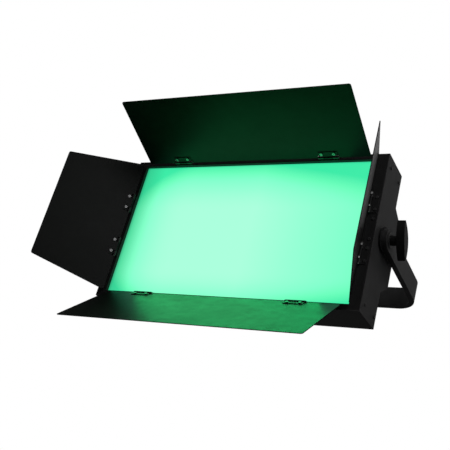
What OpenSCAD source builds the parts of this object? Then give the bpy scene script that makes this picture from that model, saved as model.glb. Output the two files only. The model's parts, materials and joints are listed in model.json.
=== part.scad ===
// LED panel light: a shallow box housing with a recessed opal diffuser, four hinged barn doors
// and a U-shaped yoke with two lock handles. Millimetres, +X right, -Y the way the light shines, +Z up.
// Origin: centre of the bolt hole in the yoke's crossbar, on the crossbar's rear face.

/* [Housing] */
// Width of the housing
body_w = 550; // [545:1:640]
// Height of the housing
body_h = 310; // [310:1:380]
// Depth of the housing behind the diffuser's face, at the top and the bottom
body_d = 71; // [69:0.5:95]
// Further depth of the spine that runs across the back
spine_d = 32.5; // [32.5:0.5:45]
// How far the front edge stands in front of the diffuser's face
front_d = 7; // [6.5:0.5:8]
// Thickness of the sheet metal
sheet = 1.5; // [1:0.1:1.6]

/* [Light opening] */
// Width of the glowing area
lum_w = 508; // [440:1:508]
// Height of the glowing area
lum_h = 286.5; // [250:0.5:286.5]
// Columns of light emitters
led_cols = 12; // [6:1:16]
// Rows of light emitters
led_rows = 7; // [4:1:9]

/* [Barn doors] */
// Length of the top and bottom leaves, from the hinge line
leaf_v = 155.5; // [110:0.5:157]
// Length of the left and right leaves, from the hinge line
leaf_s = 155.5; // [100:0.5:156]
// Half width of the top and bottom leaves at the hinge
leaf_v_root = 242; // [200:1:243]
// Half width of the top and bottom leaves at the free edge
leaf_v_tip = 242; // [190:0.5:248]
// Half height of the left and right leaves at the hinge
leaf_s_root = 144.5; // [120:0.5:144.5]
// Half height of the left and right leaves at the free edge
leaf_s_tip = 118; // [90:1:138]
// Thickness of a leaf
leaf_t = 1.5; // [1:0.1:1.5]
// Angle of the top leaf, where 0 lies flat open and 90 points forward
angle_top = 71; // [0:1:170]
// Angle of the bottom leaf
angle_bottom = 49.5; // [0:0.5:170]
// Angle of the left leaf
angle_left = 40; // [0:1:170]
// Angle of the right leaf
angle_right = 70.5; // [0:0.5:170]

/* [Door hinges] */
// Radius of a hinge pin
pin_r = 1.5; // [1.2:0.1:1.6]
// Radius of a hinge knuckle
knuckle_r = 3; // [2.8:0.1:3.2]
// Width of a hinge
hinge_w = 38; // [34:1:42]
// Distance of the top and bottom hinges from the middle
hinge_x = 159.5; // [120:0.5:180]
// Distance of the side hinges from the middle
hinge_z = 50.5; // [41:0.5:60]

/* [Yoke] */
// Distance from the diffuser's face to the rear face of the crossbar
yoke_reach = 255; // [240:1:300]
// Distance of the tilt axis behind the diffuser's face
pivot_d = 35; // [33:0.5:46]
// How far the front tilts down in the yoke at rest
head_angle = 4; // [-20:0.5:20]
// Width of the yoke's flat bar
bar_w = 42; // [34:1:50]
// Thickness of the yoke's flat bar
bar_t = 10; // [4:0.5:10.5]
// Gap between the housing's side and the yoke's arm
arm_gap = 4.2; // [3.6:0.1:6]
// Outer radius of the yoke's bends
bend_r = 42; // [20:1:45]
// Radius of the clamp bolt hole in the crossbar
bolt_r = 6.5; // [5.5:0.25:7]
// Distance between the two smaller holes in the crossbar
side_hole_pitch = 120; // [80:1:160]

/* [Lock handles] */
// Length of a lock handle
handle_l = 71; // [50:1:72]
// Width of a lock handle in the middle
handle_w = 22; // [21:0.5:28]
// Thickness of a lock handle at its ends
handle_t = 13.5; // [10:0.5:18]
// How far a handle's outer face is crowned
handle_crown = 1.6; // [1:0.1:5]
// Tilt of the handles from upright, towards the front
handle_angle = 30; // [0:1:90]
// Radius of a handle's stem
stem_r = 9.6; // [8:0.1:10]

/* [Hidden] */
$fn = 48;

hw = body_w / 2;
hh = body_h / 2;
lw = lum_w / 2;
lh = lum_h / 2;
// heights at which the spine's slopes begin and end
sp_a = 0.276 * body_h;
sp_b = 0.227 * body_h;
sp_c = -0.2 * body_h;
sp_d = -0.273 * body_h;
// how far a slope's corners move along Z for each millimetre of sheet
k_top = tan(acos((sp_a - sp_b) / norm([spine_d, sp_a - sp_b])) / 2);
k_bot = tan(acos((sp_c - sp_d) / norm([spine_d, sp_c - sp_d])) / 2);
// hinge lines of the barn doors, and how far they stand in front of the diffuser's face
door_z = 147.2;
door_x = 258;
door_n = 13;
root_a = -1;
// a leaf's faces, counted from its hinge line towards its lit face
off_v = -leaf_t;
off_s = 0.5;
plate_t = 1.2;
arm_in = hw + arm_gap;
arm_out = arm_in + bar_t;
stem_in = arm_out + 1.7;
rim_in = arm_out + 13.8;
spine_n = -(body_d + spine_d);
tilt_y = -yoke_reach + pivot_d;
// rear fittings
cp_w = 156;
cp_h = 72;
cp_z = 4.7;
button_at = [[18, 14], [44, 14], [18, -14], [44, -14]];
inlet_x = -188;
outlet_x = -232;
data_x = [-104, -142];
fuse_x = 96;
blk = [0.05, 0.05, 0.055];
blk2 = [0.1, 0.1, 0.105];
steel = [0.62, 0.62, 0.64];

// position on Y of a distance n in front of the diffuser's face
function py(n) = -yoke_reach - n;

// puts the housing and all that hangs on it at its angle in the yoke
module in_head() translate([0, tilt_y, 0]) rotate([head_angle, 0, 0]) translate([0, -tilt_y, 0]) children();

// a block given by its limits across, up and forward of the diffuser's face
module slab(x0, x1, z0, z1, n0, n1) {
  translate([x0, py(n1), z0]) cube([x1 - x0, n1 - n0, z1 - z0]);
}

// a round bar along the light's axis
module bar_n(x, z, n0, n1, r, fn = 32) {
  translate([x, py(n0), z]) rotate([90, 0, 0]) cylinder(h = n1 - n0, r = r, $fn = fn);
}

// a round bar along X
module bar_x(x0, x1, r, y = 0, z = 0, fn = 48) {
  translate([x0, y, z]) rotate([0, 90, 0]) cylinder(h = x1 - x0, r = r, $fn = fn);
}

// a pan head screw along the light's axis; the head's top faces the given way
module screw_n(x, z, n, len, r = 1.5, hr = 2.8, hh_ = 1.6, out = 1) {
  if (out > 0) {
    difference() {
      union() { bar_n(x, z, n - len, n, r, 24); bar_n(x, z, n, n + hh_, hr, 32); }
      slab(x - 2 * hr / 3, x + 2 * hr / 3, z - 0.3, z + 0.3, n + hh_ - 0.7, n + hh_ + 1);
      slab(x - 0.3, x + 0.3, z - 2 * hr / 3, z + 2 * hr / 3, n + hh_ - 0.7, n + hh_ + 1);
    }
  } else {
    difference() {
      union() { bar_n(x, z, n, n + len, r, 24); bar_n(x, z, n - hh_, n, hr, 32); }
      slab(x - 2 * hr / 3, x + 2 * hr / 3, z - 0.3, z + 0.3, n - hh_ - 1, n - hh_ + 0.7);
      slab(x - 0.3, x + 0.3, z - 2 * hr / 3, z + 2 * hr / 3, n - hh_ - 1, n - hh_ + 0.7);
    }
  }
}

// convex polygon, listed counter-clockwise, with its corners rounded by short chords
function unit(v) = v / norm(v);
function left_of(v) = [-v[1], v[0]];
function round_corner(P, i, r, k) =
  let (n = len(P), a = left_of(unit(P[i] - P[(i + n - 1) % n])), b = left_of(unit(P[(i + 1) % n] - P[i])),
       c = P[i] + r * (a + b) / (1 + a * b), t0 = atan2(-a[1], -a[0]), d = acos(a * b))
  [for (j = [0:k]) c + r * [cos(t0 + d * j / k), sin(t0 + d * j / k)]];
module round_poly(P, r, k = 8) polygon([for (i = [0:len(P) - 1]) each round_corner(P, i, r, k)]);

// ---- yoke ----
module yoke_bar() color(blk) {
  r = bend_r;
  ri = bend_r - bar_t;
  difference() {
    union() {
      // arms
      for (s = [-1, 1]) {
        translate([s > 0 ? arm_in : -arm_out, py(-pivot_d), -bar_w / 2]) cube([bar_t, -py(-pivot_d) - r, bar_w]);
        bar_x(s > 0 ? arm_in : -arm_out, s > 0 ? arm_out : -arm_in, bar_w / 2, py(-pivot_d), 0, 96);
        // bends
        intersection() {
          translate([s * (arm_out - r), -r, -bar_w / 2]) difference() {
            cylinder(h = bar_w, r = r, $fn = 64);
            translate([0, 0, -1]) cylinder(h = bar_w + 2, r = ri, $fn = 64);
          }
          translate([s > 0 ? arm_out - r : -arm_out, -r, -bar_w / 2]) cube([r, r, bar_w]);
        }
      }
      // crossbar
      translate([-(arm_out - r), -bar_t, -bar_w / 2]) cube([2 * (arm_out - r), bar_t, bar_w]);
    }
    bar_x(-arm_out - 1, arm_out + 1, 5.5, py(-pivot_d), 0);
    translate([0, 1, 0]) rotate([90, 0, 0]) cylinder(h = bar_t + 2, r = bolt_r, $fn = 64);
    for (s = [-1, 1]) translate([s * side_hole_pitch / 2, 1, 0]) rotate([90, 0, 0]) cylinder(h = bar_t + 2, r = 4.5, $fn = 48);
  }
}

module ring_x(x0, x1, ro, ri) difference() {
  bar_x(x0, x1, ro, py(-pivot_d), 0, 64);
  bar_x(x0 - 1, x1 + 1, ri, py(-pivot_d), 0, 48);
}

module friction_washers() color([0.12, 0.12, 0.12]) {
  ring_x(hw + 2.2, arm_in, 24, 5.6);
  ring_x(-arm_in, -hw - 2.2, 24, 5.6);
}

module knob_washers() color(blk) {
  ring_x(arm_out, arm_out + 1.5, 14, 5.6);
  ring_x(-arm_out - 1.5, -arm_out, 14, 5.6);
}

// ---- lock handles; built for the +X side about the tilt axis ----
// oval plan of a handle, long side along Z: two large arcs and an arc across each end
module handle_plan(x0, x1) {
  a = handle_l / 2 + 4;
  b = handle_w / 2;
  R = (a * a + b * b) / (2 * b);
  intersection() {
    bar_x(x0, x1, R, R - b, 0, 180);
    bar_x(x0, x1, R, b - R, 0, 180);
    bar_x(x0, x1, handle_l / 2, 0, 0, 96);
  }
}
module knob_shape() translate([0, py(-pivot_d), 0]) rotate([handle_angle, 0, 0]) {
  h = handle_l / 2;
  R = (h * h + handle_crown * handle_crown) / (2 * handle_crown);
  top = rim_in + handle_t + handle_crown;
  difference() {
    union() {
      bar_x(stem_in, rim_in + 1, stem_r, 0, 0, 64);
      intersection() {
        handle_plan(rim_in, top + 1);
        translate([top - R, 0, 0]) rotate([90, 0, 0]) cylinder(h = 60, r = R, center = true, $fn = 360);
      }
    }
    // seat of the stud
    bar_x(stem_in - 1, rim_in + 6, 5.05, 0, 0);
  }
}
module stud_shape() translate([0, py(-pivot_d), 0]) bar_x(hw - 12, rim_in + 6, 4.95, 0, 0);
module knob_left() color(blk) mirror([1, 0, 0]) knob_shape();
module knob_right() color(blk) knob_shape();
module knob_left_stud() color(steel) mirror([1, 0, 0]) stud_shape();
module knob_right_stud() color(steel) stud_shape();

// ---- housing ----
// side profile, as [forward, up] points
profile = [[front_d, hh], [-body_d, hh], [-body_d, sp_a], [spine_n, sp_b],
  [spine_n, sp_c], [-body_d, sp_d], [-body_d, -hh], [front_d, -hh]];

// extrudes [forward, up] points along X
module along_x(x0, x1, P) translate([x0, -yoke_reach, 0]) rotate([90, 0, 90])
  linear_extrude(height = x1 - x0) polygon([for (p = P) [-p[0], p[1]]]);

module side_plate(x0, x1) difference() {
  along_x(x0, x1, profile);
  bar_x(x0 - 1, x1 + 1, 8, py(-pivot_d), 0);
  for (z = [-hh + 20, hh - 20], n = [-12, -62]) bar_x(x0 - 1, x1 + 1, 1.7, py(n), z, 24);
}
module side_plate_left() color(blk2) side_plate(-hw, -hw + sheet);
module side_plate_right() color(blk2) side_plate(hw - sheet, hw);

// a long panel of the housing, given by its lower face, with holes for the hinge screws
module long_panel(z) difference() {
  slab(-hw + sheet, hw - sheet, z, z + sheet, -body_d, front_d);
  pair(hinge_x) pair(12.5) translate([0, py(front_d - 8), z - 1]) cylinder(h = sheet + 2, r = 1.7, $fn = 24);
}
module top_panel() color(blk2) long_panel(hh - sheet);
module bottom_panel() color(blk2) long_panel(-hh);

module vent_rows(x0, x1, z0, rows, pitch) for (i = [0:rows - 1]) slab(x0, x1, z0 + i * pitch, z0 + i * pitch + 3, -200, 0);

module rear_cover() color(blk2) difference() {
  along_x(-hw + sheet, hw - sheet, concat(
    [for (p = [[-body_d, hh - sheet], [-body_d, sp_a], [spine_n, sp_b], [spine_n, sp_c], [-body_d, sp_d], [-body_d, -hh + sheet]]) p],
    [for (p = [[-body_d + sheet, -hh + sheet], [-body_d + sheet, sp_d + k_bot * sheet], [spine_n + sheet, sp_c + k_bot * sheet],
      [spine_n + sheet, sp_b - k_top * sheet], [-body_d + sheet, sp_a - k_top * sheet], [-body_d + sheet, hh - sheet]]) p]));
  for (x = [-240, -140, 60, 160]) {
    vent_rows(x, x + 80, 103, 5, 8);
    vent_rows(x, x + 80, -138, 5, 8);
  }
  vent_rows(140, 230, -20, 6, 9);
  // control panel seat
  slab(-67.5, 67.5, cp_z - 24, cp_z + 24, spine_n - 5, spine_n + 6);
  for (x = [-71, 71], z = [-29, 29]) bar_n(x, cp_z + z, spine_n - 5, spine_n + 6, 1.7, 24);
  for (x = concat(data_x, [inlet_x, outlet_x]), s = [-1, 1]) bar_n(x + s * 9.8, cp_z + s * 12.3, spine_n - 5, spine_n + 6, 1.7, 24);
  for (x = [-11, 11]) bar_n(x, 121, -body_d - 3, -body_d + 5, 2.2, 24);
  for (x = data_x) bar_n(x, cp_z, spine_n - 5, spine_n + 6, 12.2, 48);
  for (x = [inlet_x, outlet_x]) bar_n(x, cp_z, spine_n - 5, spine_n + 6, 12.2, 48);
  bar_n(fuse_x, cp_z, spine_n - 5, spine_n + 6, 6.2, 32);
  for (x = [-262, -131, 0, 131, 262], z = [-hh + 8, hh - 8]) bar_n(x, z, -body_d - 3, -body_d + 5, 1.7, 24);
}

module front_bezel() color(blk) difference() {
  union() {
    slab(-hw + sheet, hw - sheet, -hh + sheet, hh - sheet, front_d - sheet, front_d);
    slab(-lw - sheet, lw + sheet, -lh - sheet, lh + sheet, 0.2, front_d - sheet);
  }
  slab(-lw, lw, -lh, lh, -1, front_d + 1);
  for (x = [-267.3, 267.3], z = [-20, 20]) bar_n(x, z, front_d - sheet - 1, front_d + 1, 1.7, 24);
  // side hinge screws
  for (x = [-door_x - 9.5, door_x + 9.5], z = [-hinge_z, hinge_z], s = [-1, 1])
    bar_n(x, z + s * 12.5, front_d - sheet - 1, front_d + 1, 1.7, 24);
}

module diffuser_panel() color([0.62, 1, 0.86]) slab(-lw - 9, lw + 9, -lh - 8, lh + 8, -3, 0);

module mixing_tray() color([0.93, 0.93, 0.93]) difference() {
  union() {
    slab(-lw - 4, lw + 4, -lh - 4, lh + 4, -41.6, -3.2);
    slab(-lw - 9, lw + 9, -lh - 8, lh + 8, -4.4, -3.2);
  }
  slab(-lw - 3, lw + 3, -lh - 3, lh + 3, -50, 0);
}

module led_board() color([0.9, 0.92, 0.9]) slab(-lw - 4, lw + 4, -lh - 4, lh + 4, -43.2, -41.6);

module led_emitters() color([1, 0.92, 0.5])
  for (i = [0:led_cols - 1], j = [0:led_rows - 1]) {
    x = (i - (led_cols - 1) / 2) * lum_w / led_cols;
    z = (j - (led_rows - 1) / 2) * lum_h / led_rows;
    slab(x - 2.5, x + 2.5, z - 2.5, z + 2.5, -41.6, -40.5);
  }

module heat_sink() color([0.72, 0.73, 0.75]) {
  fins = 21;
  union() {
    slab(-lw - 4, lw + 4, -lh - 4, lh + 4, -46.2, -43.2);
    for (i = [0:fins - 1]) {
      x = (i - (fins - 1) / 2) * (lum_w - 16) / (fins - 1);
      slab(x - 1, x + 1, -lh + 6, lh - 6, -64, -46);
    }
  }
}

module standoffs() color(steel)
  for (x = [-lw + 20.2, lw - 20.2], z = [-lh + 1, lh - 1]) bar_n(x, z, -body_d + sheet, -46.2, 3.5, 24);

module power_supply() color([0.7, 0.71, 0.73]) difference() {
  slab(120, 262, -44, 52, spine_n + 6, -68);
  // vents in its case
  for (i = [0:11]) slab(130 + i * 10.5, 134 + i * 10.5, -30, 38, spine_n + 4, spine_n + 7.5);
}

module control_board() color([0.08, 0.32, 0.16]) union() {
  slab(-84, 84, cp_z - 34, cp_z + 34, spine_n + 9.4, spine_n + 11);
  // driver chips and electrolytic cans on its inner side
  for (x = [-70, -46, 30, 54]) slab(x, x + 16, cp_z - 12, cp_z + 4, spine_n + 10.9, spine_n + 14);
  for (x = [-62, -50, 62]) bar_n(x, cp_z + 20, spine_n + 10.9, spine_n + 25, 5, 24);
}

module display_module() color([0.1, 0.2, 0.35]) slab(-66, -2, cp_z - 15, cp_z + 15, spine_n + 1.4, spine_n + 9.4);

module control_panel() color([0.07, 0.07, 0.075]) difference() {
  translate([0, py(spine_n), cp_z]) rotate([-90, 0, 0]) linear_extrude(height = 2)
    round_poly([[-cp_w / 2, -cp_h / 2], [cp_w / 2, -cp_h / 2], [cp_w / 2, cp_h / 2], [-cp_w / 2, cp_h / 2]], 5);
  slab(-66, -2, cp_z - 15, cp_z + 15, spine_n - 5, spine_n + 2);
  for (b = button_at) bar_n(b[0], cp_z + b[1], spine_n - 5, spine_n + 2, 5.5, 48);
  for (x = [-71, 71], z = [-29, 29]) bar_n(x, cp_z + z, spine_n - 5, spine_n + 2, 1.7, 24);
}

module display_window() color([0.12, 0.2, 0.24, 0.8]) slab(-66, -2, cp_z - 15, cp_z + 15, spine_n - 1.6, spine_n - 0.1);

module button(i) {
  x = button_at[i][0];
  z = cp_z + button_at[i][1];
  bar_n(x, z, spine_n - 4.2, spine_n + 2.2, 5, 48);
  bar_n(x, z, spine_n + 2.2, spine_n + 3.6, 6.6, 48);
  bar_n(x, z, spine_n + 3.6, spine_n + 8.1, 2, 32);
}
module button_menu() color([0.16, 0.16, 0.17]) union() button(0);
module button_up() color([0.16, 0.16, 0.17]) union() button(1);
module button_down() color([0.16, 0.16, 0.17]) union() button(2);
module button_enter() color([0.16, 0.16, 0.17]) union() button(3);

// square flange with a round body and a hollow mouth; mouth depth and radius are given
module socket(x, mouth_r, mouth_d) difference() {
  union() {
    translate([x, py(spine_n), cp_z]) rotate([-90, 0, 0]) linear_extrude(height = 3)
      round_poly([[-13, -15.5], [13, -15.5], [13, 15.5], [-13, 15.5]], 2.5);
    bar_n(x, cp_z, spine_n - 3.01, spine_n + 22, 12, 64);
  }
  bar_n(x, cp_z, spine_n - 5, spine_n - 3 + mouth_d, mouth_r, 64);
  for (s = [-1, 1]) bar_n(x + s * 9.8, cp_z + s * 12.3, spine_n - 5, spine_n + 1, 1.7, 24);
}
module power_inlet() color([0.1, 0.25, 0.6]) difference() {
  socket(inlet_x, 9.5, 18);
  // key slots of the locking ring
  for (a = [0, 120, 240]) translate([inlet_x, py(spine_n), cp_z]) rotate([0, a, 0]) translate([-1.6, -15, 9]) cube([3.2, 22, 2]);
}
module power_outlet() color([0.75, 0.75, 0.76]) difference() {
  socket(outlet_x, 9.5, 18);
  for (a = [60, 180, 300]) translate([outlet_x, py(spine_n), cp_z]) rotate([0, a, 0]) translate([-1.6, -15, 9]) cube([3.2, 22, 2]);
}
module data_sockets() color([0.08, 0.08, 0.08]) for (x = data_x) socket(x, 8.2, 16);

module socket_contacts() color([0.85, 0.7, 0.3]) {
  for (x = data_x, a = [-100, -50, 0, 50, 100]) rotate_about(x, cp_z, a) bar_n(x, cp_z - 5.2, spine_n + 4, spine_n + 13, 0.9, 16);
  for (x = [inlet_x, outlet_x], a = [0, 120, 240]) rotate_about(x, cp_z, a) bar_n(x, cp_z - 5, spine_n + 5, spine_n + 15, 1.3, 16);
}
module rotate_about(x, z, a) translate([x, 0, z]) rotate([0, a, 0]) translate([-x, 0, -z]) children();

module socket_screws() color(steel) {
  for (x = concat(data_x, [inlet_x, outlet_x]), s = [-1, 1]) screw_n(x + s * 9.8, cp_z + s * 12.3, spine_n - 3, 5, 1.5, 2.4, 1.3, -1);
  for (x = [-71, 71], z = [-29, 29]) screw_n(x, cp_z + z, spine_n - 2, 4, 1.5, 2.8, 1.4, -1);
}

module fuse_holder() color([0.06, 0.06, 0.06]) difference() {
  union() {
    bar_n(fuse_x, cp_z, spine_n, spine_n + 25, 6, 48);
    bar_n(fuse_x, cp_z, spine_n - 2, spine_n, 9, 48);
    bar_n(fuse_x, cp_z, spine_n - 8, spine_n, 6.8, 48);
  }
  slab(fuse_x - 5, fuse_x + 5, cp_z - 0.8, cp_z + 0.8, spine_n - 10, spine_n - 6.5);
}

module safety_eyelet() color(steel) difference() {
  union() {
    slab(-18, 18, 110, 132, -body_d - 3, -body_d);
    // upright tab with a round end
    slab(-1.5, 1.5, 111, 131, -body_d - 16, -body_d - 2.9);
    translate([-1.5, py(-body_d - 16), 121]) rotate([0, 90, 0]) cylinder(h = 3, r = 10, $fn = 64);
  }
  translate([-5, py(-body_d - 16), 121]) rotate([0, 90, 0]) cylinder(h = 10, r = 6, $fn = 48);
  for (x = [-11, 11]) bar_n(x, 121, -body_d - 5, -body_d + 1, 2.1, 24);
}

module boss() difference() {
  union() {
    bar_x(hw, hw + 2, 17, py(-pivot_d), 0, 64);
    bar_x(hw - 5, hw + 0.5, 8, py(-pivot_d), 0, 48);
    bar_x(hw - 14, hw - sheet - 3, 13, py(-pivot_d), 0, 48);
  }
  bar_x(hw - 17, hw + 3, 5, py(-pivot_d), 0);
}
module pivot_bosses() color(blk) { boss(); mirror([1, 0, 0]) boss(); }

module pivot_plate() difference() {
  slab(hw - sheet - 3, hw - sheet, -30, 30, -69, -10);
  bar_x(hw - 10, hw + 1, 8, py(-pivot_d), 0);
}
module pivot_plates() color(steel) { pivot_plate(); mirror([1, 0, 0]) pivot_plate(); }

module rear_screws() color(steel) {
  for (x = [-262, -131, 0, 131, 262], z = [-hh + 8, hh - 8]) screw_n(x, z, -body_d, 4, 1.5, 3, 1.8, -1);
  for (x = [-11, 11]) screw_n(x, 121, -body_d - 3, 6, 2, 3.4, 2, -1);
}

module side_screws() color(blk)
  for (s = [-1, 1], z = [-hh + 20, hh - 20], n = [-12, -62])
    translate([s * hw, py(n), z]) rotate([0, s * 90, 0]) difference() {
      union() { translate([0, 0, -4]) cylinder(h = 4, r = 1.5, $fn = 24); cylinder(h = 1.7, r = 3, $fn = 32); }
      translate([-2, -0.3, 1]) cube([4, 0.6, 2]);
      translate([-0.3, -2, 1]) cube([0.6, 4, 2]);
    }

module bezel_screws() color(steel)
  for (x = [-267.3, 267.3], z = [-20, 20]) screw_n(x, z, front_d, 4, 1.5, 2.8, 1.5, 1);

// ---- hinges of the barn doors ----
// half of a hinge that stays on the housing, in the leaf's own axes at angle 0: X along the pin,
// -Y forward, +Z outward; fold is true where its flange folds back over the housing's edge
module bracket(fold) {
  k = knuckle_r;
  d = door_n - front_d;
  difference() {
    union() {
      if (fold) {
        translate([-hinge_w / 2, d - plate_t, -3.8]) cube([hinge_w, plate_t, 3.8 + hh - door_z + plate_t]);
        translate([-hinge_w / 2, d - 0.1, hh - door_z]) cube([hinge_w, 15, plate_t]);
      } else {
        translate([-hinge_w / 2, d - plate_t, -3.8]) cube([hinge_w, plate_t, 17]);
      }
      for (s = [-1, 1]) translate([s > 0 ? 9.8 : -hinge_w / 2, 0, 0]) {
        rotate([0, 90, 0]) cylinder(h = hinge_w / 2 - 9.8, r = k, $fn = 48);
        cube([hinge_w / 2 - 9.8, d - plate_t / 2, k]);
      }
    }
    translate([-hinge_w, 0, 0]) rotate([0, 90, 0]) cylinder(h = 2 * hinge_w, r = pin_r + 0.05, $fn = 48);
    for (s = [-1, 1]) if (fold) translate([s * 12.5, d + 8, hh - door_z - 1]) cylinder(h = 4, r = 1.7, $fn = 24);
      else translate([s * 12.5, d + 1, 9.5]) rotate([90, 0, 0]) cylinder(h = 4, r = 1.7, $fn = 24);
  }
}
module bracket_screw(fold) for (s = [-1, 1]) {
  d = door_n - front_d;
  if (fold) translate([s * 12.5, d + 8, hh - door_z + plate_t]) pan_screw(4.5);
  else translate([s * 12.5, d - plate_t, 9.5]) rotate([90, 0, 0]) pan_screw(4.5);
}
// pan head screw pointing down Z with its head above 0
module pan_screw(len, r = 1.5, hr = 2.8, h = 1.6) difference() {
  union() { translate([0, 0, -len]) cylinder(h = len, r = r, $fn = 24); cylinder(h = h, r = hr, $fn = 32); }
  translate([-1.9, -0.3, h - 0.7]) cube([3.8, 0.6, 2]);
  translate([-0.3, -1.9, h - 0.7]) cube([0.6, 3.8, 2]);
}
module pin() translate([-hinge_w / 2 - 0.6, 0, 0]) rotate([0, 90, 0]) union() {
  cylinder(h = hinge_w + 1.2, r = pin_r, $fn = 32);
  translate([0, 0, -1]) cylinder(h = 1.1, r = 2.4, $fn = 32);
  translate([0, 0, hinge_w + 1.1]) cylinder(h = 1.1, r = 2.4, $fn = 32);
}

// puts children made in a leaf's own axes at each hinge line; angle 0 is flat open
module at_top(a) translate([0, py(door_n), door_z]) rotate([a, 0, 0]) children();
module at_bottom(a) translate([0, py(door_n), -door_z]) rotate([-a, 0, 0]) rotate([0, 180, 0]) children();
module at_right(a) translate([door_x, py(door_n), 0]) rotate([0, 0, -a]) rotate([0, 90, 0]) children();
module at_left(a) translate([-door_x, py(door_n), 0]) rotate([0, 0, a]) rotate([0, -90, 0]) children();

module pair(d) for (s = [-1, 1]) translate([s * d, 0, 0]) children();

module hinge_brackets() color(blk) {
  at_top(0) pair(hinge_x) bracket(true);
  at_bottom(0) pair(hinge_x) bracket(true);
  at_left(0) pair(hinge_z) bracket(false);
  at_right(0) pair(hinge_z) bracket(false);
}
module bracket_screws() color(blk) {
  at_top(0) pair(hinge_x) bracket_screw(true);
  at_bottom(0) pair(hinge_x) bracket_screw(true);
  at_left(0) pair(hinge_z) bracket_screw(false);
  at_right(0) pair(hinge_z) bracket_screw(false);
}
module hinge_pins() color(blk) {
  at_top(0) pair(hinge_x) pin();
  at_bottom(0) pair(hinge_x) pin();
  at_left(0) pair(hinge_z) pin();
  at_right(0) pair(hinge_z) pin();
}

// ---- leaves; X along the pin, Z away from it, lit face towards -Y ----
module leaf(root, tip, length, off, hd) difference() {
  translate([0, -off, 0]) rotate([90, 0, 0]) linear_extrude(height = leaf_t)
    round_poly([[-root, root_a], [root, root_a], [tip, length], [-tip, length]], 4);
  pair(hd) translate([-hinge_w / 2 - 2.4, -10, root_a - 5]) cube([hinge_w + 4.8, 20, 5 + 4.2 - root_a]);
  pair(hd) pair(12.5) translate([0, 10, 8.5]) rotate([90, 0, 0]) cylinder(h = 20, r = 1.6, $fn = 24);
}
module leaf_hinge(off) {
  // inner face of the leaf
  f = -off - leaf_t;
  difference() {
    union() {
      translate([-9.5, 0, 0]) rotate([0, 90, 0]) cylinder(h = 19, r = knuckle_r, $fn = 48);
      translate([-9.5, f - plate_t, off < 0 ? 2 : 0]) cube([19, plate_t, off < 0 ? 3 : 5]);
      translate([-hinge_w / 2, f - plate_t, 4.3]) cube([hinge_w, plate_t, 8.7]);
    }
    translate([-10, 0, 0]) rotate([0, 90, 0]) cylinder(h = 20, r = pin_r + 0.05, $fn = 48);
    pair(12.5) translate([0, 10, 8.5]) rotate([90, 0, 0]) cylinder(h = 20, r = 1.6, $fn = 24);
  }
}
module leaf_screw(off) pair(12.5) translate([0, -off - leaf_t - plate_t, 8.5]) rotate([90, 0, 0]) pan_screw(leaf_t + plate_t + 2.6, 1.5, 2.8, 1.4);
module leaf_nut(off) pair(12.5) translate([0, -off, 8.5]) rotate([-90, 0, 0]) difference() {
  cylinder(h = 2, r = 3.1, $fn = 6);
  translate([0, 0, -1]) cylinder(h = 4, r = 1.55, $fn = 24);
}

module leaf_top() color(blk) at_top(angle_top) leaf(leaf_v_root, leaf_v_tip, leaf_v, off_v, hinge_x);
module leaf_top_hinges() color(blk) at_top(angle_top) pair(hinge_x) leaf_hinge(off_v);
module leaf_top_screws() color(steel) at_top(angle_top) pair(hinge_x) leaf_screw(off_v);
module leaf_top_nuts() color(steel) at_top(angle_top) pair(hinge_x) leaf_nut(off_v);

module leaf_bottom() color(blk) at_bottom(angle_bottom) leaf(leaf_v_root, leaf_v_tip, leaf_v, off_v, hinge_x);
module leaf_bottom_hinges() color(blk) at_bottom(angle_bottom) pair(hinge_x) leaf_hinge(off_v);
module leaf_bottom_screws() color(steel) at_bottom(angle_bottom) pair(hinge_x) leaf_screw(off_v);
module leaf_bottom_nuts() color(steel) at_bottom(angle_bottom) pair(hinge_x) leaf_nut(off_v);

module leaf_left() color(blk) at_left(angle_left) leaf(leaf_s_root, leaf_s_tip, leaf_s, off_s, hinge_z);
module leaf_left_hinges() color(blk) at_left(angle_left) pair(hinge_z) leaf_hinge(off_s);
module leaf_left_screws() color(steel) at_left(angle_left) pair(hinge_z) leaf_screw(off_s);
module leaf_left_nuts() color(steel) at_left(angle_left) pair(hinge_z) leaf_nut(off_s);

module leaf_right() color(blk) at_right(angle_right) leaf(leaf_s_root, leaf_s_tip, leaf_s, off_s, hinge_z);
module leaf_right_hinges() color(blk) at_right(angle_right) pair(hinge_z) leaf_hinge(off_s);
module leaf_right_screws() color(steel) at_right(angle_right) pair(hinge_z) leaf_screw(off_s);
module leaf_right_nuts() color(steel) at_right(angle_right) pair(hinge_z) leaf_nut(off_s);

// ---- drawing ----
yoke_bar();
friction_washers();
knob_washers();
in_head() knob_left();
in_head() knob_left_stud();
in_head() knob_right();
in_head() knob_right_stud();
in_head() side_plate_left();
in_head() side_plate_right();
in_head() top_panel();
in_head() bottom_panel();
in_head() rear_cover();
in_head() front_bezel();
in_head() diffuser_panel();
in_head() mixing_tray();
in_head() led_board();
in_head() led_emitters();
in_head() heat_sink();
in_head() standoffs();
in_head() power_supply();
in_head() control_board();
in_head() display_module();
in_head() control_panel();
in_head() display_window();
in_head() button_menu();
in_head() button_up();
in_head() button_down();
in_head() button_enter();
in_head() power_inlet();
in_head() power_outlet();
in_head() data_sockets();
in_head() socket_contacts();
in_head() socket_screws();
in_head() fuse_holder();
in_head() safety_eyelet();
in_head() pivot_bosses();
in_head() pivot_plates();
in_head() rear_screws();
in_head() side_screws();
in_head() bezel_screws();
in_head() hinge_brackets();
in_head() bracket_screws();
in_head() hinge_pins();
in_head() leaf_top();
in_head() leaf_top_hinges();
in_head() leaf_top_screws();
in_head() leaf_top_nuts();
in_head() leaf_bottom();
in_head() leaf_bottom_hinges();
in_head() leaf_bottom_screws();
in_head() leaf_bottom_nuts();
in_head() leaf_left();
in_head() leaf_left_hinges();
in_head() leaf_left_screws();
in_head() leaf_left_nuts();
in_head() leaf_right();
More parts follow.
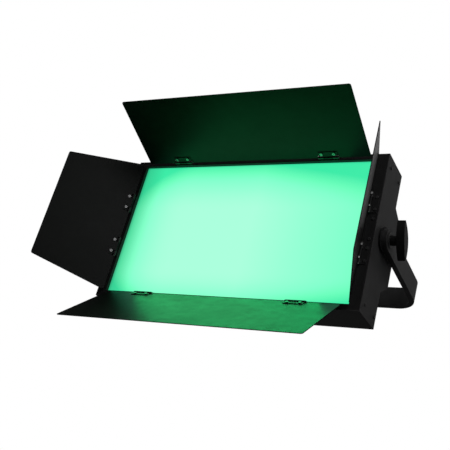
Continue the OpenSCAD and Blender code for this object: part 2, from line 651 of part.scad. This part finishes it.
in_head() leaf_right_hinges();
in_head() leaf_right_screws();
in_head() leaf_right_nuts();
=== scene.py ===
import json
import math

import bmesh
import bpy
from mathutils import Matrix, Vector

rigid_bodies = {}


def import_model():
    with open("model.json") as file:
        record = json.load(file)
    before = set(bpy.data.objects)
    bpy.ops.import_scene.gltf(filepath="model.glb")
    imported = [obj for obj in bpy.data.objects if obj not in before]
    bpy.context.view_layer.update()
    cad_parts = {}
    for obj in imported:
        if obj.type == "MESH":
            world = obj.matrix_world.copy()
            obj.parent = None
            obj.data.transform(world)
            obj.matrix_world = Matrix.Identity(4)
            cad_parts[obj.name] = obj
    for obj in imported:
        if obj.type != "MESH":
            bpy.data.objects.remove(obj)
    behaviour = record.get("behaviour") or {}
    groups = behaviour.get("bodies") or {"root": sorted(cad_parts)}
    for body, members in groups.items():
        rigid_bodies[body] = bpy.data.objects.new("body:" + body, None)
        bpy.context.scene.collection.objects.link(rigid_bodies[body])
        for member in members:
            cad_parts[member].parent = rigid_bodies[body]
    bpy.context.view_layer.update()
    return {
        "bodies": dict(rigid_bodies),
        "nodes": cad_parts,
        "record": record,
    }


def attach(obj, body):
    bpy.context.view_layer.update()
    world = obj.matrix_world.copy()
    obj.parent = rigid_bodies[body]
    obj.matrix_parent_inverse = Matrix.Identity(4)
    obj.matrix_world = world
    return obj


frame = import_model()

OWN_W = 1.8                              # watts of the panel's own light
BURN = 0.3                               # how far green exceeds white in the middle of the glow
nodes, bodies, record = frame["nodes"], frame["bodies"], frame["record"]
scene = bpy.context.scene
scene.view_settings.view_transform = "Standard"
scene.view_settings.look = "None"

# places that the CAD gives, in metres; the head hangs a few degrees front down in its yoke
TILT_AT = Vector((0, -0.220, 0))
TILT = math.radians(4.0)
HEAD = Matrix.Translation(TILT_AT) @ Matrix.Rotation(TILT, 4, "X") @ Matrix.Translation(-TILT_AT)
REACH = 0.255                            # from the crossbar's rear face to the diffuser's lit face, untilted


def head_place(x, n, z):
    """A point of the untilted head: across, forward of the diffuser and up, in mm, taken to the row frame."""
    return HEAD @ Vector((x / 1000, -REACH - n / 1000, z / 1000))


# ------------------------------------------------------------------ camera
cam_data = bpy.data.cameras.new("camera")
cam = bpy.data.objects.new("camera", cam_data)
scene.collection.objects.link(cam)
cam_data.sensor_width = 36
cam_data.lens = 66.6415
right = Vector((0.868189, 0.430858, 0.246187))
up = Vector((-0.00768, -0.484387, 0.87482))
back = Vector((0.496174, -0.7614, -0.417231))
cam.matrix_world = HEAD @ Matrix((
    (right.x, up.x, back.x, 0.763587),
    (right.y, up.y, back.y, -REACH - 1.215846),
    (right.z, up.z, back.z, -0.658636),
    (0, 0, 0, 1)))
cam_data.shift_x, cam_data.shift_y = -0.6 / 450, 0.55 / 450
cam_data.clip_start, cam_data.clip_end = 0.05, 60
scene.camera = cam


# --------------------------------------------------------------- materials
class Mat:
    """A node material under construction."""

    def __init__(self, name):
        self.m = bpy.data.materials.new(name)
        self.m.use_nodes = True
        self.t = self.m.node_tree
        self.b = self.t.nodes["Principled BSDF"]
        self.tc = self.new("ShaderNodeTexCoord")
        self.pos = self.tc.outputs["Object"]
        self.height = []

    def new(self, kind, **props):
        n = self.t.nodes.new(kind)
        for k, v in props.items():
            setattr(n, k, v)
        return n

    def link(self, a, b):
        self.t.links.new(a, b)

    def put(self, socket, value):
        """A number, colour or another node's output goes into a socket."""
        if isinstance(value, bpy.types.NodeSocket):
            self.link(value, socket)
        elif isinstance(value, (tuple, list)) and len(value) == 3 and socket.type == "RGBA":
            socket.default_value = (*value, 1)
        else:
            socket.default_value = value

    def set(self, **kw):
        for k, v in kw.items():
            self.put(self.b.inputs[k.replace("_", " ")], v)

    def mapped(self, scale=(1, 1, 1), rot=(0, 0, 0), loc=(0, 0, 0), vec=None):
        n = self.new("ShaderNodeMapping")
        self.link(vec or self.pos, n.inputs["Vector"])
        n.inputs["Scale"].default_value = scale
        n.inputs["Rotation"].default_value = rot
        n.inputs["Location"].default_value = loc
        return n.outputs["Vector"]

    def noise(self, scale, detail=2.0, rough=0.5, vec=None, distortion=0.0, out="Fac"):
        n = self.new("ShaderNodeTexNoise")
        self.link(vec or self.pos, n.inputs["Vector"])
        n.inputs["Scale"].default_value = scale
        n.inputs["Detail"].default_value = detail
        n.inputs["Roughness"].default_value = rough
        n.inputs["Distortion"].default_value = distortion
        return n.outputs[out]

    def voronoi(self, scale, vec=None, feature="F1", out="Distance", randomness=1.0):
        n = self.new("ShaderNodeTexVoronoi", feature=feature)
        self.link(vec or self.pos, n.inputs["Vector"])
        n.inputs["Scale"].default_value = scale
        n.inputs["Randomness"].default_value = randomness
        return n.outputs[out]

    def span(self, v, a, b, c=0.0, d=1.0, smooth=False):
        """v from a..b is taken to c..d, held at the ends."""
        n = self.new("ShaderNodeMapRange")
        if smooth:
            n.interpolation_type = "SMOOTHSTEP"
        self.put(n.inputs["Value"], v)
        for k, x in zip(("From Min", "From Max", "To Min", "To Max"), (a, b, c, d)):
            n.inputs[k].default_value = x
        return n.outputs["Result"]

    def math(self, op, a, b=0.0, c=0.0):
        n = self.new("ShaderNodeMath", operation=op)
        self.put(n.inputs[0], a)
        if len(n.inputs) > 1:
            self.put(n.inputs[1], b)
        if len(n.inputs) > 2:
            self.put(n.inputs[2], c)
        return n.outputs[0]

    def mix(self, f, a, b, blend="MIX"):
        n = self.new("ShaderNodeMix", data_type="RGBA", blend_type=blend)
        self.put(n.inputs["Factor"], f)
        self.put(n.inputs[6], a)
        self.put(n.inputs[7], b)
        return n.outputs[2]

    def xyz(self, vec=None):
        n = self.new("ShaderNodeSeparateXYZ")
        self.link(vec or self.pos, n.inputs[0])
        return n.outputs

    def edge(self, radius, a=0.03, b=0.35):
        """How near an outer edge a point is, 0 to 1."""
        bev = self.new("ShaderNodeBevel", samples=4)
        bev.inputs["Radius"].default_value = radius
        geo = self.new("ShaderNodeNewGeometry")
        dot = self.new("ShaderNodeVectorMath", operation="DOT_PRODUCT")
        self.link(bev.outputs[0], dot.inputs[0])
        self.link(geo.outputs["Normal"], dot.inputs[1])
        return self.span(self.math("SUBTRACT", 1.0, dot.outputs["Value"]), a, b)

    def bump(self, height, distance, strength=1.0, normal=None):
        n = self.new("ShaderNodeBump")
        n.inputs["Strength"].default_value = strength
        n.inputs["Distance"].default_value = distance
        self.link(height, n.inputs["Height"])
        if normal:
            self.link(normal, n.inputs["Normal"])
        return n.outputs[0]

    def done(self, normal=None):
        if normal:
            self.link(normal, self.b.inputs["Normal"])
        return self.m


def powder(name, base, rough=(0.42, 0.6), grain=1400.0, grain_mm=0.02, wear=0.35, seed=0.0, ior=1.5,
           spec=0.5, dust=0.25):
    """Powder coat: fine orange peel, specks, cloudy variation, rubbed edges, a little dust on top."""
    m = Mat(name)
    at = m.mapped(loc=(seed, seed * 1.7, -seed))
    cloud = m.noise(7.0, 4, 0.6, at)
    patch = m.noise(45.0, 3, 0.55, at)
    peel = m.noise(grain, 2, 0.5, at)
    speck = m.voronoi(grain * 1.5, at)
    lo = tuple(c * 0.72 for c in base)
    hi = tuple(c * 1.35 for c in base)
    col = m.mix(m.span(m.math("ADD", m.math("MULTIPLY", cloud, 0.6), m.math("MULTIPLY", patch, 0.4)), 0.36, 0.64), lo, hi)
    col = m.mix(m.span(speck, 0.06, 0.16, 0.5, 0.0), col, tuple(min(1, c * 2.2 + 0.01) for c in base))
    nrm = m.xyz(m.tc.outputs["Normal"])
    top = m.math("MULTIPLY", m.span(nrm[2], 0.55, 0.95), m.span(m.noise(60.0, 4, 0.7, at), 0.42, 0.72))
    col = m.mix(m.math("MULTIPLY", top, dust), col, (0.16, 0.155, 0.145))
    chips = m.span(m.noise(230.0, 4, 0.65, at), 0.48, 0.66)
    worn = m.math("MULTIPLY", m.edge(0.0009), chips)
    col = m.mix(m.math("MULTIPLY", worn, wear), col, (0.19, 0.19, 0.192))
    r = m.span(m.math("ADD", m.math("MULTIPLY", cloud, 0.5), m.math("MULTIPLY", peel, 0.5)), 0.35, 0.65, rough[0], rough[1])
    r = m.math("ADD", r, m.math("MULTIPLY", top, 0.15))
    m.set(Base_Color=col, Roughness=r, IOR=ior, Specular_IOR_Level=spec)
    h = m.math("ADD", peel, m.math("MULTIPLY", m.span(speck, 0.0, 0.3), 0.6))
    return m.done(m.bump(h, grain_mm / 1000, 0.8))


def metal(name, base, rough=(0.25, 0.42), brush=(1, 1, 40), scale=60.0, stain=0.25, seed=0.0, tone=None):
    """Plated or milled metal with fine tool marks and handling stains."""
    m = Mat(name)
    at = m.mapped(loc=(seed, seed * 1.3, seed * 0.7))
    marks = m.noise(scale, 4, 0.6, m.mapped(scale=brush, vec=at))
    fine = m.noise(2600.0, 2, 0.5, at)
    blot = m.noise(38.0, 4, 0.6, at)
    dark = tuple(c * 0.6 for c in base)
    col = m.mix(m.math("MULTIPLY", m.span(blot, 0.42, 0.7), stain), base, tone or dark)
    col = m.mix(m.span(marks, 0.35, 0.7, 0.0, 0.3), col, dark)
    r = m.span(m.math("ADD", m.math("MULTIPLY", marks, 0.6), m.math("MULTIPLY", blot, 0.4)), 0.35, 0.65, rough[0], rough[1])
    m.set(Base_Color=col, Metallic=1.0, Roughness=r)
    h = m.math("ADD", m.math("MULTIPLY", marks, 0.7), m.math("MULTIPLY", fine, 0.3))
    return m.done(m.bump(h, 0.00002, 0.6))


def plastic(name, base, rough=(0.35, 0.5), grain=1800.0, grain_mm=0.015, seed=0.0, scuff=0.2, wear=0.25, coat=0.0,
            spec=0.5):
    """Moulded plastic: spark-eroded grain, scuffs and slightly polished edges."""
    m = Mat(name)
    at = m.mapped(loc=(seed, -seed * 0.6, seed * 1.9))
    g = m.noise(grain, 3, 0.6, at)
    cells = m.voronoi(grain * 0.9, at)
    cloud = m.noise(26.0, 4, 0.6, at)
    lo, hi = tuple(c * 0.8 for c in base), tuple(min(1, c * 1.25) for c in base)
    col = m.mix(m.span(cloud, 0.36, 0.66), lo, hi)
    marks = m.math("MULTIPLY", m.span(m.noise(90.0, 5, 0.75, m.mapped(scale=(1, 5, 1), rot=(0.4, 0.2, 0.9), vec=at)), 0.6, 0.74), scuff)
    col = m.mix(marks, col, tuple(min(1, c * 1.8 + 0.03) for c in base))
    worn = m.math("MULTIPLY", m.edge(0.0007), m.span(cloud, 0.4, 0.6, 0.4, 1.0))
    col = m.mix(m.math("MULTIPLY", worn, wear), col, tuple(min(1, c * 1.5 + 0.05) for c in base))
    r = m.span(m.math("ADD", m.math("MULTIPLY", g, 0.5), m.math("MULTIPLY", cloud, 0.5)), 0.36, 0.64, rough[0], rough[1])
    m.set(Base_Color=col, Roughness=r, IOR=1.47, Specular_IOR_Level=spec, Coat_Weight=coat, Coat_Roughness=0.12)
    h = m.math("ADD", g, m.math("MULTIPLY", cells, 0.5))
    return m.done(m.bump(h, grain_mm / 1000, 0.8))


def diffuser():
    """Opal sheet lit from behind: brightest below the middle, greener towards its edges and top."""
    m = Mat("opal_diffuser")
    inv = HEAD.inverted()
    p = m.xyz(m.mapped(rot=(-TILT, 0, 0), loc=tuple(inv.translation)))
    u = m.math("MULTIPLY", p[0], 1 / 0.254)           # -1 to 1 across
    v = m.math("MULTIPLY", p[2], 1 / 0.14325)         # -1 to 1 up
    fall = (
        m.math("MULTIPLY", m.math("POWER", m.span(u, -0.5, -1.0), 2.0), 0.88),
        m.math("MULTIPLY", m.span(u, 0.1, 1.0), 0.57),
        m.math("MULTIPLY", m.math("POWER", m.span(v, 0.3, 1.0), 1.6), 0.93),
        m.math("MULTIPLY", m.math("POWER", m.span(v, -0.6, -1.0), 2.0), 0.50),
    )
    drop = m.math("ADD", m.math("ADD", fall[0], fall[1]), m.math("ADD", fall[2], fall[3]))
    level = m.span(m.math("SUBTRACT", 1.0, drop), 0.0, 1.0)
    ramp = m.new("ShaderNodeValToRGB")
    ramp.color_ramp.interpolation = "LINEAR"
    e = ramp.color_ramp.elements
    e[0].position, e[0].color = 0.0, (0.045, 0.84, 0.39, 1)
    e[1].position, e[1].color = 1.0, (0.408, 1.0, 0.723, 1)
    for at, c in ((0.25, (0.125, 0.94, 0.48, 1)), (0.5, (0.224, 0.97, 0.61, 1)), (0.75, (0.305, 1.0, 0.665, 1))):
        e.new(at).color = c
    m.link(level, ramp.inputs[0])
    # the middle burns out in green
    burn = m.new("ShaderNodeCombineXYZ")
    burn.inputs[0].default_value = burn.inputs[2].default_value = 1.0
    m.link(m.math("ADD", m.math("MULTIPLY", m.math("POWER", level, 1.5), BURN), 1.0), burn.inputs[1])
    lit = m.new("ShaderNodeVectorMath", operation="MULTIPLY")
    m.link(ramp.outputs[0], lit.inputs[0])
    m.link(burn.outputs[0], lit.inputs[1])
    # fine sparkle of the opal sheet, and the shade of its frame at the rim
    speckle = m.span(m.noise(900.0, 3, 0.6), 0.3, 0.7, 0.985, 1.0)
    rim_u = m.math("MULTIPLY", m.span(m.math("ABSOLUTE", u), 0.972, 1.0, 1.0, 0.75, smooth=True), m.span(u, -0.82, -1.0, 1.0, 0.72))
    rim_v = m.span(m.math("ABSOLUTE", v), 0.972, 1.0, 1.0, 0.8, smooth=True)
    shade = m.new("ShaderNodeVectorMath", operation="SCALE")
    m.link(lit.outputs[0], shade.inputs[0])
    m.link(m.math("MULTIPLY", speckle, m.math("MULTIPLY", rim_u, rim_v)), shade.inputs["Scale"])
    m.set(Base_Color=m.mix(m.noise(300.0, 2), (0.03, 0.032, 0.032), (0.05, 0.052, 0.052)), IOR=1.4,
          Roughness=m.span(m.noise(700.0, 3, 0.6), 0.3, 0.7, 0.42, 0.55), Emission_Color=shade.outputs[0],
          Specular_IOR_Level=0.2)
    m.b.inputs["Emission Strength"].default_value = 1.0
    return m.done(m.bump(m.noise(1500.0, 3, 0.6), 0.00001, 0.5))


def rubber(name, base=(0.009, 0.009, 0.0095), seed=0.0):
    m = Mat(name)
    at = m.mapped(loc=(seed, seed, seed))
    n = m.noise(700.0, 4, 0.65, at)
    big = m.noise(40.0, 3, 0.6, at)
    m.set(Base_Color=m.mix(m.span(big, 0.35, 0.7), base, tuple(c * 2.0 for c in base)),
          Roughness=m.span(n, 0.3, 0.7, 0.72, 0.92), IOR=1.5, Specular_IOR_Level=0.15)
    return m.done(m.bump(n, 0.00003, 0.8))


def glass(name):
    m = Mat(name)
    smear = m.noise(30.0, 5, 0.7, m.mapped(scale=(1, 1, 3)))
    m.set(Base_Color=m.mix(m.span(smear, 0.4, 0.7, 0.0, 0.6), (0.10, 0.15, 0.17), (0.14, 0.19, 0.20)),
          Roughness=m.span(smear, 0.35, 0.7, 0.03, 0.16), IOR=1.5)
    m.b.inputs["Alpha"].default_value = 0.32
    m.m.surface_render_method = "BLENDED"
    return m.done(m.bump(smear, 0.00001, 0.3))


def board(name, base, trace, seed=0.0):
    """Solder mask with tracks under it."""
    m = Mat(name)
    at = m.mapped(loc=(seed, seed, seed))
    brick = m.new("ShaderNodeTexBrick")
    m.link(m.mapped(rot=(math.pi / 2, 0, 0), vec=at), brick.inputs["Vector"])
    brick.inputs["Scale"].default_value = 260.0
    brick.inputs["Mortar Size"].default_value = 0.03
    brick.offset = 0.37
    tracks = m.math("MULTIPLY", brick.outputs["Fac"], m.span(m.noise(50.0, 2, 0.5, at), 0.45, 0.55))
    col = m.mix(tracks, base, trace)
    pads = m.span(m.voronoi(160.0, at), 0.07, 0.09, 1.0, 0.0)
    col = m.mix(pads, col, (0.62, 0.56, 0.42))
    m.set(Base_Color=col, Roughness=m.span(pads, 0, 1, 0.32, 0.25), IOR=1.5, Coat_Weight=0.3, Coat_Roughness=0.15)
    m.link(m.math("MULTIPLY", pads, 0.9), m.b.inputs["Metallic"])
    return m.done(m.bump(m.math("ADD", tracks, pads), 0.00003, 0.7))


def white(name, seed=0.0):
    m = Mat(name)
    n = m.noise(500.0, 4, 0.6, m.mapped(loc=(seed, 0, seed)))
    big = m.noise(12.0, 3, 0.5)
    m.set(Base_Color=m.mix(big, (0.80, 0.80, 0.79), (0.90, 0.90, 0.89)), Roughness=m.span(n, 0.3, 0.7, 0.5, 0.68), IOR=1.5)
    return m.done(m.bump(n, 0.00003, 0.6))


def phosphor():
    m = Mat("led_phosphor")
    n = m.noise(900.0, 3, 0.6)
    m.set(Base_Color=m.mix(n, (0.95, 0.72, 0.22), (1.0, 0.85, 0.40)), Roughness=m.span(n, 0.3, 0.7, 0.2, 0.34), IOR=1.45,
          Coat_Weight=0.6, Coat_Roughness=0.08)
    return m.done(m.bump(n, 0.00002, 0.4))


def glow(name, colour, strength):
    """A lit segment behind the display's glass."""
    m = Mat(name)
    n = m.noise(2500.0, 2)
    m.set(Base_Color=m.mix(n, (0.02, 0.03, 0.04), (0.03, 0.05, 0.06)), Roughness=m.span(n, 0.3, 0.7, 0.3, 0.4),
          Emission_Color=m.mix(n, colour, tuple(c * 0.85 for c in colour)))
    m.b.inputs["Emission Strength"].default_value = strength
    return m.done()


MAT = {
    "yoke_black": powder("yoke_black", (0.020, 0.020, 0.0205), (0.40, 0.55), seed=1.0),
    "housing_black": powder("housing_black", (0.020, 0.020, 0.0205), (0.46, 0.62), seed=2.0),
    "bezel_black": powder("bezel_black", (0.009, 0.009, 0.0092), (0.5, 0.64), seed=3.0, spec=0.3),
    "door_black": powder("door_black", (0.005, 0.005, 0.0051), (0.32, 0.42), seed=4.0, dust=0.06, spec=0.07),
    "knob_black": plastic("knob_black", (0.010, 0.010, 0.0102), (0.38, 0.52), seed=5.0, spec=0.32),
    "rubber": rubber("rubber", seed=6.0),
    "zinc_steel": metal("zinc_steel", (0.24, 0.24, 0.237), (0.34, 0.5), brush=(30, 1, 1), seed=7.0, tone=(0.18, 0.172, 0.145)),
    "screw_steel": metal("screw_steel", (0.17, 0.17, 0.173), (0.3, 0.44), seed=8.0),
    "black_steel": powder("black_steel", (0.030, 0.030, 0.0305), (0.36, 0.5), grain=2200.0, grain_mm=0.008, wear=0.6, seed=8.5, dust=0.1),
    "opal_diffuser": diffuser(),
    "reflector_white": white("reflector_white", 9.0),
    "led_phosphor": phosphor(),
    "bare_aluminium": metal("bare_aluminium", (0.76, 0.77, 0.78), (0.3, 0.5), brush=(1, 1, 30), seed=10.0),
    "circuit_board": board("circuit_board", (0.012, 0.10, 0.04), (0.03, 0.20, 0.09), 11.0),
    "panel_plastic": plastic("panel_plastic", (0.018, 0.018, 0.019), (0.32, 0.44), seed=12.0),
    "display_glass": glass("display_glass"),
    "inlet_blue": plastic("inlet_blue", (0.02, 0.085, 0.36), (0.34, 0.46), seed=13.0),
    "outlet_grey": plastic("outlet_grey", (0.36, 0.36, 0.37), (0.34, 0.46), seed=14.0),
    "socket_black": plastic("socket_black", (0.014, 0.014, 0.014), (0.3, 0.42), seed=15.0),
    "gold_contacts": metal("gold_contacts", (0.86, 0.62, 0.24), (0.16, 0.28), seed=16.0),
}
SLOT = {s["node"]: s["material_slot"] for s in record["subparts"]} if "subparts" in record else {}

# the rear cover and the front bezel keep their folded edges as they are
SHEET = {"side_plate_left", "side_plate_right", "top_panel", "bottom_panel", "leaf_top", "leaf_bottom", "leaf_left",
         "leaf_right"}
PLAIN = {"knob_left", "knob_right", "fuse_holder", "power_supply"}
ROUND = {"yoke_bar": 0.0022, "hinge_brackets": 0.00025, "leaf_top_hinges": 0.00025, "leaf_bottom_hinges": 0.00025,
         "leaf_left_hinges": 0.00025, "leaf_right_hinges": 0.00025, "safety_eyelet": 0.0005, "control_panel": 0.0004,
         "power_inlet": 0.0004, "power_outlet": 0.0004, "data_sockets": 0.0004, "fuse_holder": 0.0004,
         # friction_washers: real black rubber washers, made wide so that their dark discs also stand in for the shadow
         # that arm and knob cast on the side plates (painted shadow)
         "pivot_bosses": 0.0004, "friction_washers": 0.0004, "knob_washers": 0.0003, "button_menu": 0.0006,
         "button_up": 0.0006, "button_down": 0.0006, "button_enter": 0.0006, "power_supply": 0.0006,
         "knob_left": 0.0022, "knob_right": 0.0022}


def soften(o, width, segments=2, angle=32, merge_flats=True):
    """Joins the split vertices of an imported node and rounds its sharp edges a little."""
    w = o.modifiers.new("join", "WELD")
    w.merge_threshold = 0.000002
    if merge_flats:          # one face to each flat, so that a rounded rim can't fold over its neighbours
        d = o.modifiers.new("flat_faces", "DECIMATE")
        d.decimate_type = "DISSOLVE"
        d.angle_limit = math.radians(0.2)
    b = o.modifiers.new("round", "BEVEL")
    b.width = width
    b.segments = segments
    b.limit_method = "ANGLE"
    b.angle_limit = math.radians(angle)
    b.use_clamp_overlap = True
    b.harden_normals = False
    b.miter_outer = "MITER_ARC"
    # the flat faces keep their own direction, and only the rounded edges turn
    f = o.modifiers.new("flats", "WEIGHTED_NORMAL")
    f.mode = "FACE_AREA"
    f.weight = 100
    f.keep_sharp = True


for name, o in nodes.items():
    slot_name = SLOT[name]
    o.data.materials.clear()
    o.data.materials.append(MAT[slot_name])
    if name in SHEET:
        soften(o, 0.00035)
    elif name in ROUND:
        soften(o, ROUND[name], 4 if name.startswith("knob_") else 2, merge_flats=name not in PLAIN)

# ------------------------------------------------------- small added pieces
SPINE = -103.5                           # the rear panel's outer face, as n in mm
CP_Z = 4.7                               # height of the row of rear fittings


def flat_piece(name, shapes, n0, n1, body, mat, bevel=0.0002, segments=2):
    """Outlines in the head's X and Z, in mm, given thickness from n0 to n1 along the light's axis."""
    bm = bmesh.new()
    for shape in shapes:
        lo = [bm.verts.new(head_place(x, n0, z)) for x, z in shape]
        hi = [bm.verts.new(head_place(x, n1, z)) for x, z in shape]
        bm.faces.new(lo)
        bm.faces.new(list(reversed(hi)))
        for i in range(len(shape)):
            k = (i + 1) % len(shape)
            bm.faces.new((lo[k], lo[i], hi[i], hi[k]))
    bmesh.ops.recalc_face_normals(bm, faces=bm.faces)
    me = bpy.data.meshes.new(name)
    bm.to_mesh(me)
    bm.free()
    o = bpy.data.objects.new(name, me)
    scene.collection.objects.link(o)
    me.materials.append(mat)
    b = o.modifiers.new("round", "BEVEL")
    b.width = bevel
    b.segments = segments
    b.limit_method = "ANGLE"
    b.angle_limit = math.radians(30)
    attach(o, body)
    return o


def bar(x, z, w, h, cut=0.35):
    """A bar with cut corners about x, z."""
    c = cut * min(w, h)
    a, b = w / 2, h / 2
    return [(x - a + c, z - b), (x + a - c, z - b), (x + a, z - b + c), (x + a, z + b - c),
            (x + a - c, z + b), (x - a + c, z + b), (x - a, z + b - c), (x - a, z - b + c)]


def ring(x, z, r, n=24, a0=0.0):
    return [(x + r * math.cos(a0 + 2 * math.pi * i / n), z + r * math.sin(a0 + 2 * math.pi * i / n)) for i in range(n)]


# seven-segment figures, read from behind, so they run towards -X
SEGMENTS = {"0": "abcdef", "1": "bc", "2": "abged", "5": "afgcd", "7": "abc", "8": "abcdefg"}


def figure(ch, x, z, w, h, t):
    """The bars of one figure; x is its left side as read, z its lower edge."""
    g = 0.35
    at = {
        "a": (w / 2, h - t / 2, w - t - g, t), "g": (w / 2, h / 2, w - t - g, t), "d": (w / 2, t / 2, w - t - g, t),
        "f": (t / 2, h * 0.75, t, h / 2 - t / 2 - g), "b": (w - t / 2, h * 0.75, t, h / 2 - t / 2 - g),
        "e": (t / 2, h * 0.25, t, h / 2 - t / 2 - g), "c": (w - t / 2, h * 0.25, t, h / 2 - t / 2 - g),
    }
    return [bar(x - at[k][0], z + at[k][1], at[k][2], at[k][3], 0.45) for k in SEGMENTS[ch]]


GLOW = glow("display_glow", (0.35, 0.85, 1.0), 1.6)
big = figure("1", -14, CP_Z - 7.5, 8, 15, 2.0) + figure("0", -25, CP_Z - 7.5, 8, 15, 2.0) + figure("0", -36, CP_Z - 7.5, 8, 15, 2.0)
flat_piece("display_figures", big, SPINE + 0.5, SPINE + 1.2, "head", GLOW, 0.00012)
steps = [bar(-9 - 4.2 * i, CP_Z - 11.5, 3.2, 2.2, 0.3) for i in range(13)]
flat_piece("display_level_bar", steps, SPINE + 0.5, SPINE + 1.2, "head", GLOW, 0.0001)
small = figure("2", -48, CP_Z + 1.5, 4, 7.5, 1.1) + figure("5", -54, CP_Z + 1.5, 4, 7.5, 1.1)
flat_piece("display_small_figures", small, SPINE + 0.5, SPINE + 1.2, "head", GLOW, 0.0001)

# raised marks on the four keys
MARK = plastic("key_mark", (0.55, 0.55, 0.55), (0.4, 0.52), seed=20.0)
TOP = SPINE - 4.2
flat_piece("key_menu_mark", [bar(18, CP_Z + 14 + d, 4.6, 0.9) for d in (-1.8, 0, 1.8)], TOP - 0.35, TOP + 0.2, "key_menu",
           MARK)
flat_piece("key_up_mark", [[(44 - 2.4, CP_Z + 14 - 1.5), (44 + 2.4, CP_Z + 14 - 1.5), (44, CP_Z + 14 + 2.4)]], TOP - 0.35, TOP + 0.2,
           "key_up", MARK)
flat_piece("key_down_mark", [[(18 - 2.4, CP_Z - 14 + 1.5), (18, CP_Z - 14 - 2.4), (18 + 2.4, CP_Z - 14 + 1.5)]], TOP - 0.35, TOP + 0.2,
           "key_down", MARK)
flat_piece("key_enter_mark", [ring(44, CP_Z - 14, 1.2, 16)] + [bar(44 + 2.6 * math.cos(a), CP_Z - 14 + 2.6 * math.sin(a), 1.1, 1.1)
           for a in (math.pi / 4 + k * math.pi / 2 for k in range(4))], TOP - 0.35, TOP + 0.2, "key_enter", MARK)

# press latches of the data sockets
for i, x in enumerate((-104, -142)):
    latch = [(x - 4, CP_Z + 9.6), (x + 4, CP_Z + 9.6), (x + 4, CP_Z + 12.6), (x + 2.8, CP_Z + 14.2), (x - 2.8, CP_Z + 14.2), (x - 4, CP_Z + 12.6)]
    flat_piece(f"data_latch_{i + 1}", [latch], SPINE - 4.6, SPINE - 2.8, "head",
               MAT["socket_black"], 0.0004, 3)

# ------------------------------------------------------------------ studio
world = bpy.data.worlds.new("studio")
scene.world = world
world.use_nodes = True
wt = world.node_tree
for n in list(wt.nodes):
    wt.nodes.remove(n)
w_out = wt.nodes.new("ShaderNodeOutputWorld")
w_mix = wt.nodes.new("ShaderNodeMixShader")
w_path = wt.nodes.new("ShaderNodeLightPath")
w_seen = wt.nodes.new("ShaderNodeBackground")
w_lit = wt.nodes.new("ShaderNodeBackground")
w_seen.inputs[0].default_value, w_seen.inputs[1].default_value = (1, 1, 1, 1), 1.0
w_lit.inputs[0].default_value, w_lit.inputs[1].default_value = (1, 1, 1, 1), 0.045
wt.links.new(w_path.outputs["Is Camera Ray"], w_mix.inputs[0])
wt.links.new(w_lit.outputs[0], w_mix.inputs[1])
wt.links.new(w_seen.outputs[0], w_mix.inputs[2])
wt.links.new(w_mix.outputs[0], w_out.inputs[0])


def area(name, at, to, size, power, shape="RECTANGLE", size_y=None):
    d = bpy.data.lights.new(name, "AREA")
    d.shape = shape
    d.size = size
    if size_y:
        d.size_y = size_y
    d.energy = power
    o = bpy.data.objects.new(name, d)
    scene.collection.objects.link(o)
    o.location = at
    o.rotation_mode = "QUATERNION"
    o.rotation_quaternion = (Vector(to) - Vector(at)).to_track_quat("-Z", "Y")
    o.visible_camera = False
    return o


area("key_right", (2.6, -0.7, 0.5), (0, -0.25, 0), 1.6, 12, size_y=1.6)
area("front_soft", (1.7, -2.2, 1.25), (-0.3, -0.3, 0), 1.6, 20, size_y=1.6)
area("top_soft", (-0.7, 0.5, 2.6), (0, -0.2, 0), 2.6, 46, size_y=2.4)
area("rear_high", (0.1, 2.6, 2.2), (0.2, -0.3, 0), 2.2, 6, size_y=1.6)
area("rear_left", (-2.5, 1.9, 0.3), (0, -0.1, 0), 1.8, 36, size_y=1.6)
# the panel's own green light, which is far stronger than its burnt-out face shows; it turns with the head
own = area("panel_light", head_place(-3, 1.5, 0), head_place(-3, 101.5, 0), 0.395, OWN_W, size_y=0.27)
own.data.color = (0.0, 1.0, 0.22)
own.data.spread = math.radians(150)
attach(own, "head")

# floor, well below: the light hangs from its yoke
bm = bmesh.new()
bmesh.ops.create_grid(bm, x_segments=24, y_segments=24, size=12)
floor_mesh = bpy.data.meshes.new("floor")
bm.to_mesh(floor_mesh)
bm.free()
floor = bpy.data.objects.new("floor", floor_mesh)
scene.collection.objects.link(floor)
floor.location = (0, 0, -1.15)
fm = Mat("floor_pale")
fn = fm.noise(3.0, 4, 0.6)
fm.set(Base_Color=fm.mix(fn, (0.86, 0.86, 0.86), (0.9, 0.9, 0.9)), Roughness=fm.span(fn, 0.3, 0.7, 0.8, 0.95),
       Specular_IOR_Level=0.1, Emission_Color=(1, 1, 1))
fm.b.inputs["Emission Strength"].default_value = 0.55
floor_mesh.materials.append(fm.done())
floor.visible_diffuse = False
floor.visible_glossy = False
